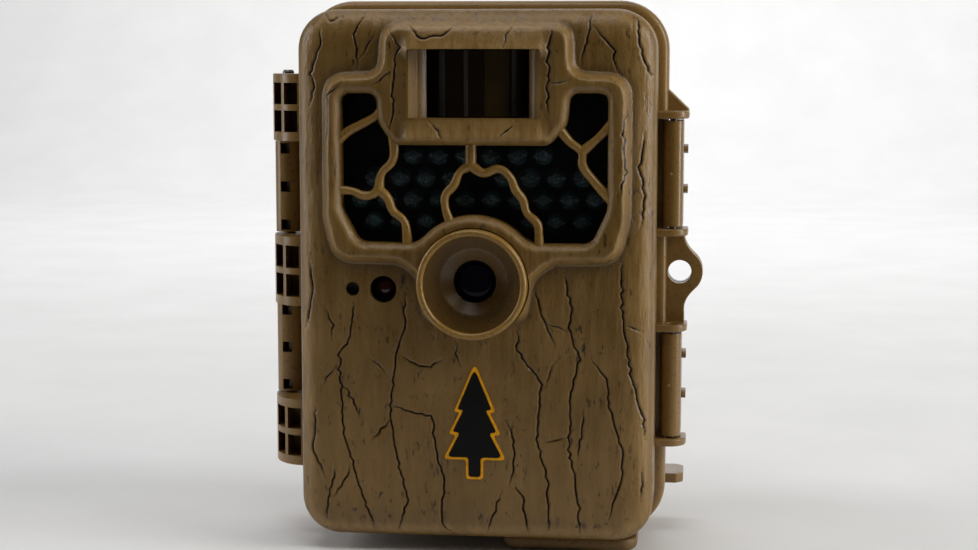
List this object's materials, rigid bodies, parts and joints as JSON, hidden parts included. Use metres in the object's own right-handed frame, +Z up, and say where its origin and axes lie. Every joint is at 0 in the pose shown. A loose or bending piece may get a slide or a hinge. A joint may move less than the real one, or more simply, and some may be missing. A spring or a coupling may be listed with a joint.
{
  "type": "trail camera",
  "caption": "Trail camera in a hinged weatherproof case with bark-like front, side latches, port flap and a toothed bracket for strapping to a tree.",
  "frame": {"origin": "bottom centre of the camera with its tree bracket, on the plane where door and case meet", "axes": "+Z up; the lens looks along -Y; +X to the right seen from the front, where the latches are"},
  "size_m": [0.1138, 0.072, 0.1407],
  "materials": {
    "bark_plastic": "matte, moulded bark grain",
    "brown_plastic": "satin",
    "brown_rubber": "matte",
    "smoked_plastic": "gloss",
    "glass": "polished",
    "cell_sleeve": "gloss",
    "grey_plastic": "matte",
    "steel": "plated",
    "black_plastic": "satin",
    "card_plastic": "satin",
    "circuit_board": "satin",
    "brass": "turned",
    "seal_rubber": "matte"
  },
  "bodies": {
    "case": {"battery_1": "cell_sleeve", "battery_2": "cell_sleeve", "battery_3": "cell_sleeve", "battery_4": "cell_sleeve", "battery_5": "cell_sleeve", "battery_6": "cell_sleeve", "battery_7": "cell_sleeve", "battery_8": "cell_sleeve", "battery_tray": "grey_plastic", "bracket_screw_1": "steel", "bracket_screw_2": "steel", "bracket_screw_3": "steel", "bracket_screw_4": "steel", "case_contacts": "brass", "case_seal": "seal_rubber", "contact_spring_1": "steel", "contact_spring_2": "steel", "contact_spring_3": "steel", "contact_spring_4": "steel", "contact_strip_lower": "steel", "contact_strip_upper": "steel", "rear_case": "brown_plastic", "tree_bracket": "brown_plastic", "tripod_insert": "brass"},
    "door": {"front_cover": "bark_plastic", "door_frame": "brown_plastic", "ir_window": "smoked_plastic", "ir_led_array": "circuit_board", "pir_lens": "smoked_plastic", "pir_sensor": "steel", "lens_shroud": "brown_plastic", "lens_glass": "glass", "lens_barrel": "black_plastic", "camera_board": "circuit_board", "light_sensor": "smoked_plastic", "microphone": "black_plastic", "main_board": "circuit_board", "inner_panel": "grey_plastic", "lcd_display": "glass", "sd_socket": "steel", "port_block": "black_plastic", "door_contacts": "black_plastic", "hinge_pin": "steel", "latch_pin_upper": "steel", "latch_pin_lower": "steel", "panel_screw_1": "steel", "panel_screw_2": "steel", "panel_screw_3": "steel", "panel_screw_4": "steel"},
    "latch_upper": {"latch_upper": "brown_plastic"},
    "latch_lower": {"latch_lower": "brown_plastic"},
    "port_cover": {"port_cover": "brown_rubber"},
    "power_switch": {"power_switch": "black_plastic"},
    "sd_card": {"sd_card": "card_plastic"},
    "button_up": {"button_up": "black_plastic"},
    "button_down": {"button_down": "black_plastic"},
    "button_left": {"button_left": "black_plastic"},
    "button_right": {"button_right": "black_plastic"},
    "button_enter": {"button_enter": "black_plastic"},
    "button_menu": {"button_menu": "black_plastic"}
  },
  "joints": [
    {"name": "door_hinge", "type": "hinge", "parent": "case", "child": "door", "pos_m": [-0.0532, 0, 0.0703], "axis": [0, 0, -1], "range_deg": [0, 170]},
    {"name": "latch_upper_pivot", "type": "hinge", "parent": "door", "child": "latch_upper", "pos_m": [0.049, -0.0073, 0.0963], "axis": [0, 0, -1], "range_deg": [0, 100]},
    {"name": "latch_lower_pivot", "type": "hinge", "parent": "door", "child": "latch_lower", "pos_m": [0.049, -0.0073, 0.0414], "axis": [0, 0, -1], "range_deg": [0, 100]},
    {"name": "port_cover_hinge", "type": "hinge", "parent": "door", "child": "port_cover", "pos_m": [0.0237, -0.0096, 0.0022], "axis": [1, 0, 0], "range_deg": [0, 110]},
    {"name": "power_switch_slide", "type": "slide", "parent": "door", "child": "power_switch", "axis": [1, 0, 0], "range_m": [0, 0.0064]},
    {"name": "sd_card_slide", "type": "slide", "parent": "door", "child": "sd_card", "axis": [0, 0, 1], "range_m": [-0.01, 0.001]},
    {"name": "button_up_press", "type": "slide", "parent": "door", "child": "button_up", "axis": [0, -1, 0], "range_m": [0, 0.0006], "stiffness_N_per_m": 300},
    {"name": "button_down_press", "type": "slide", "parent": "door", "child": "button_down", "axis": [0, -1, 0], "range_m": [0, 0.0006], "stiffness_N_per_m": 300},
    {"name": "button_left_press", "type": "slide", "parent": "door", "child": "button_left", "axis": [0, -1, 0], "range_m": [0, 0.0006], "stiffness_N_per_m": 300},
    {"name": "button_right_press", "type": "slide", "parent": "door", "child": "button_right", "axis": [0, -1, 0], "range_m": [0, 0.0006], "stiffness_N_per_m": 300},
    {"name": "button_enter_press", "type": "slide", "parent": "door", "child": "button_enter", "axis": [0, -1, 0], "range_m": [0, 0.0006], "stiffness_N_per_m": 300},
    {"name": "button_menu_press", "type": "slide", "parent": "door", "child": "button_menu", "axis": [0, -1, 0], "range_m": [0, 0.0006], "stiffness_N_per_m": 300}
  ]
}
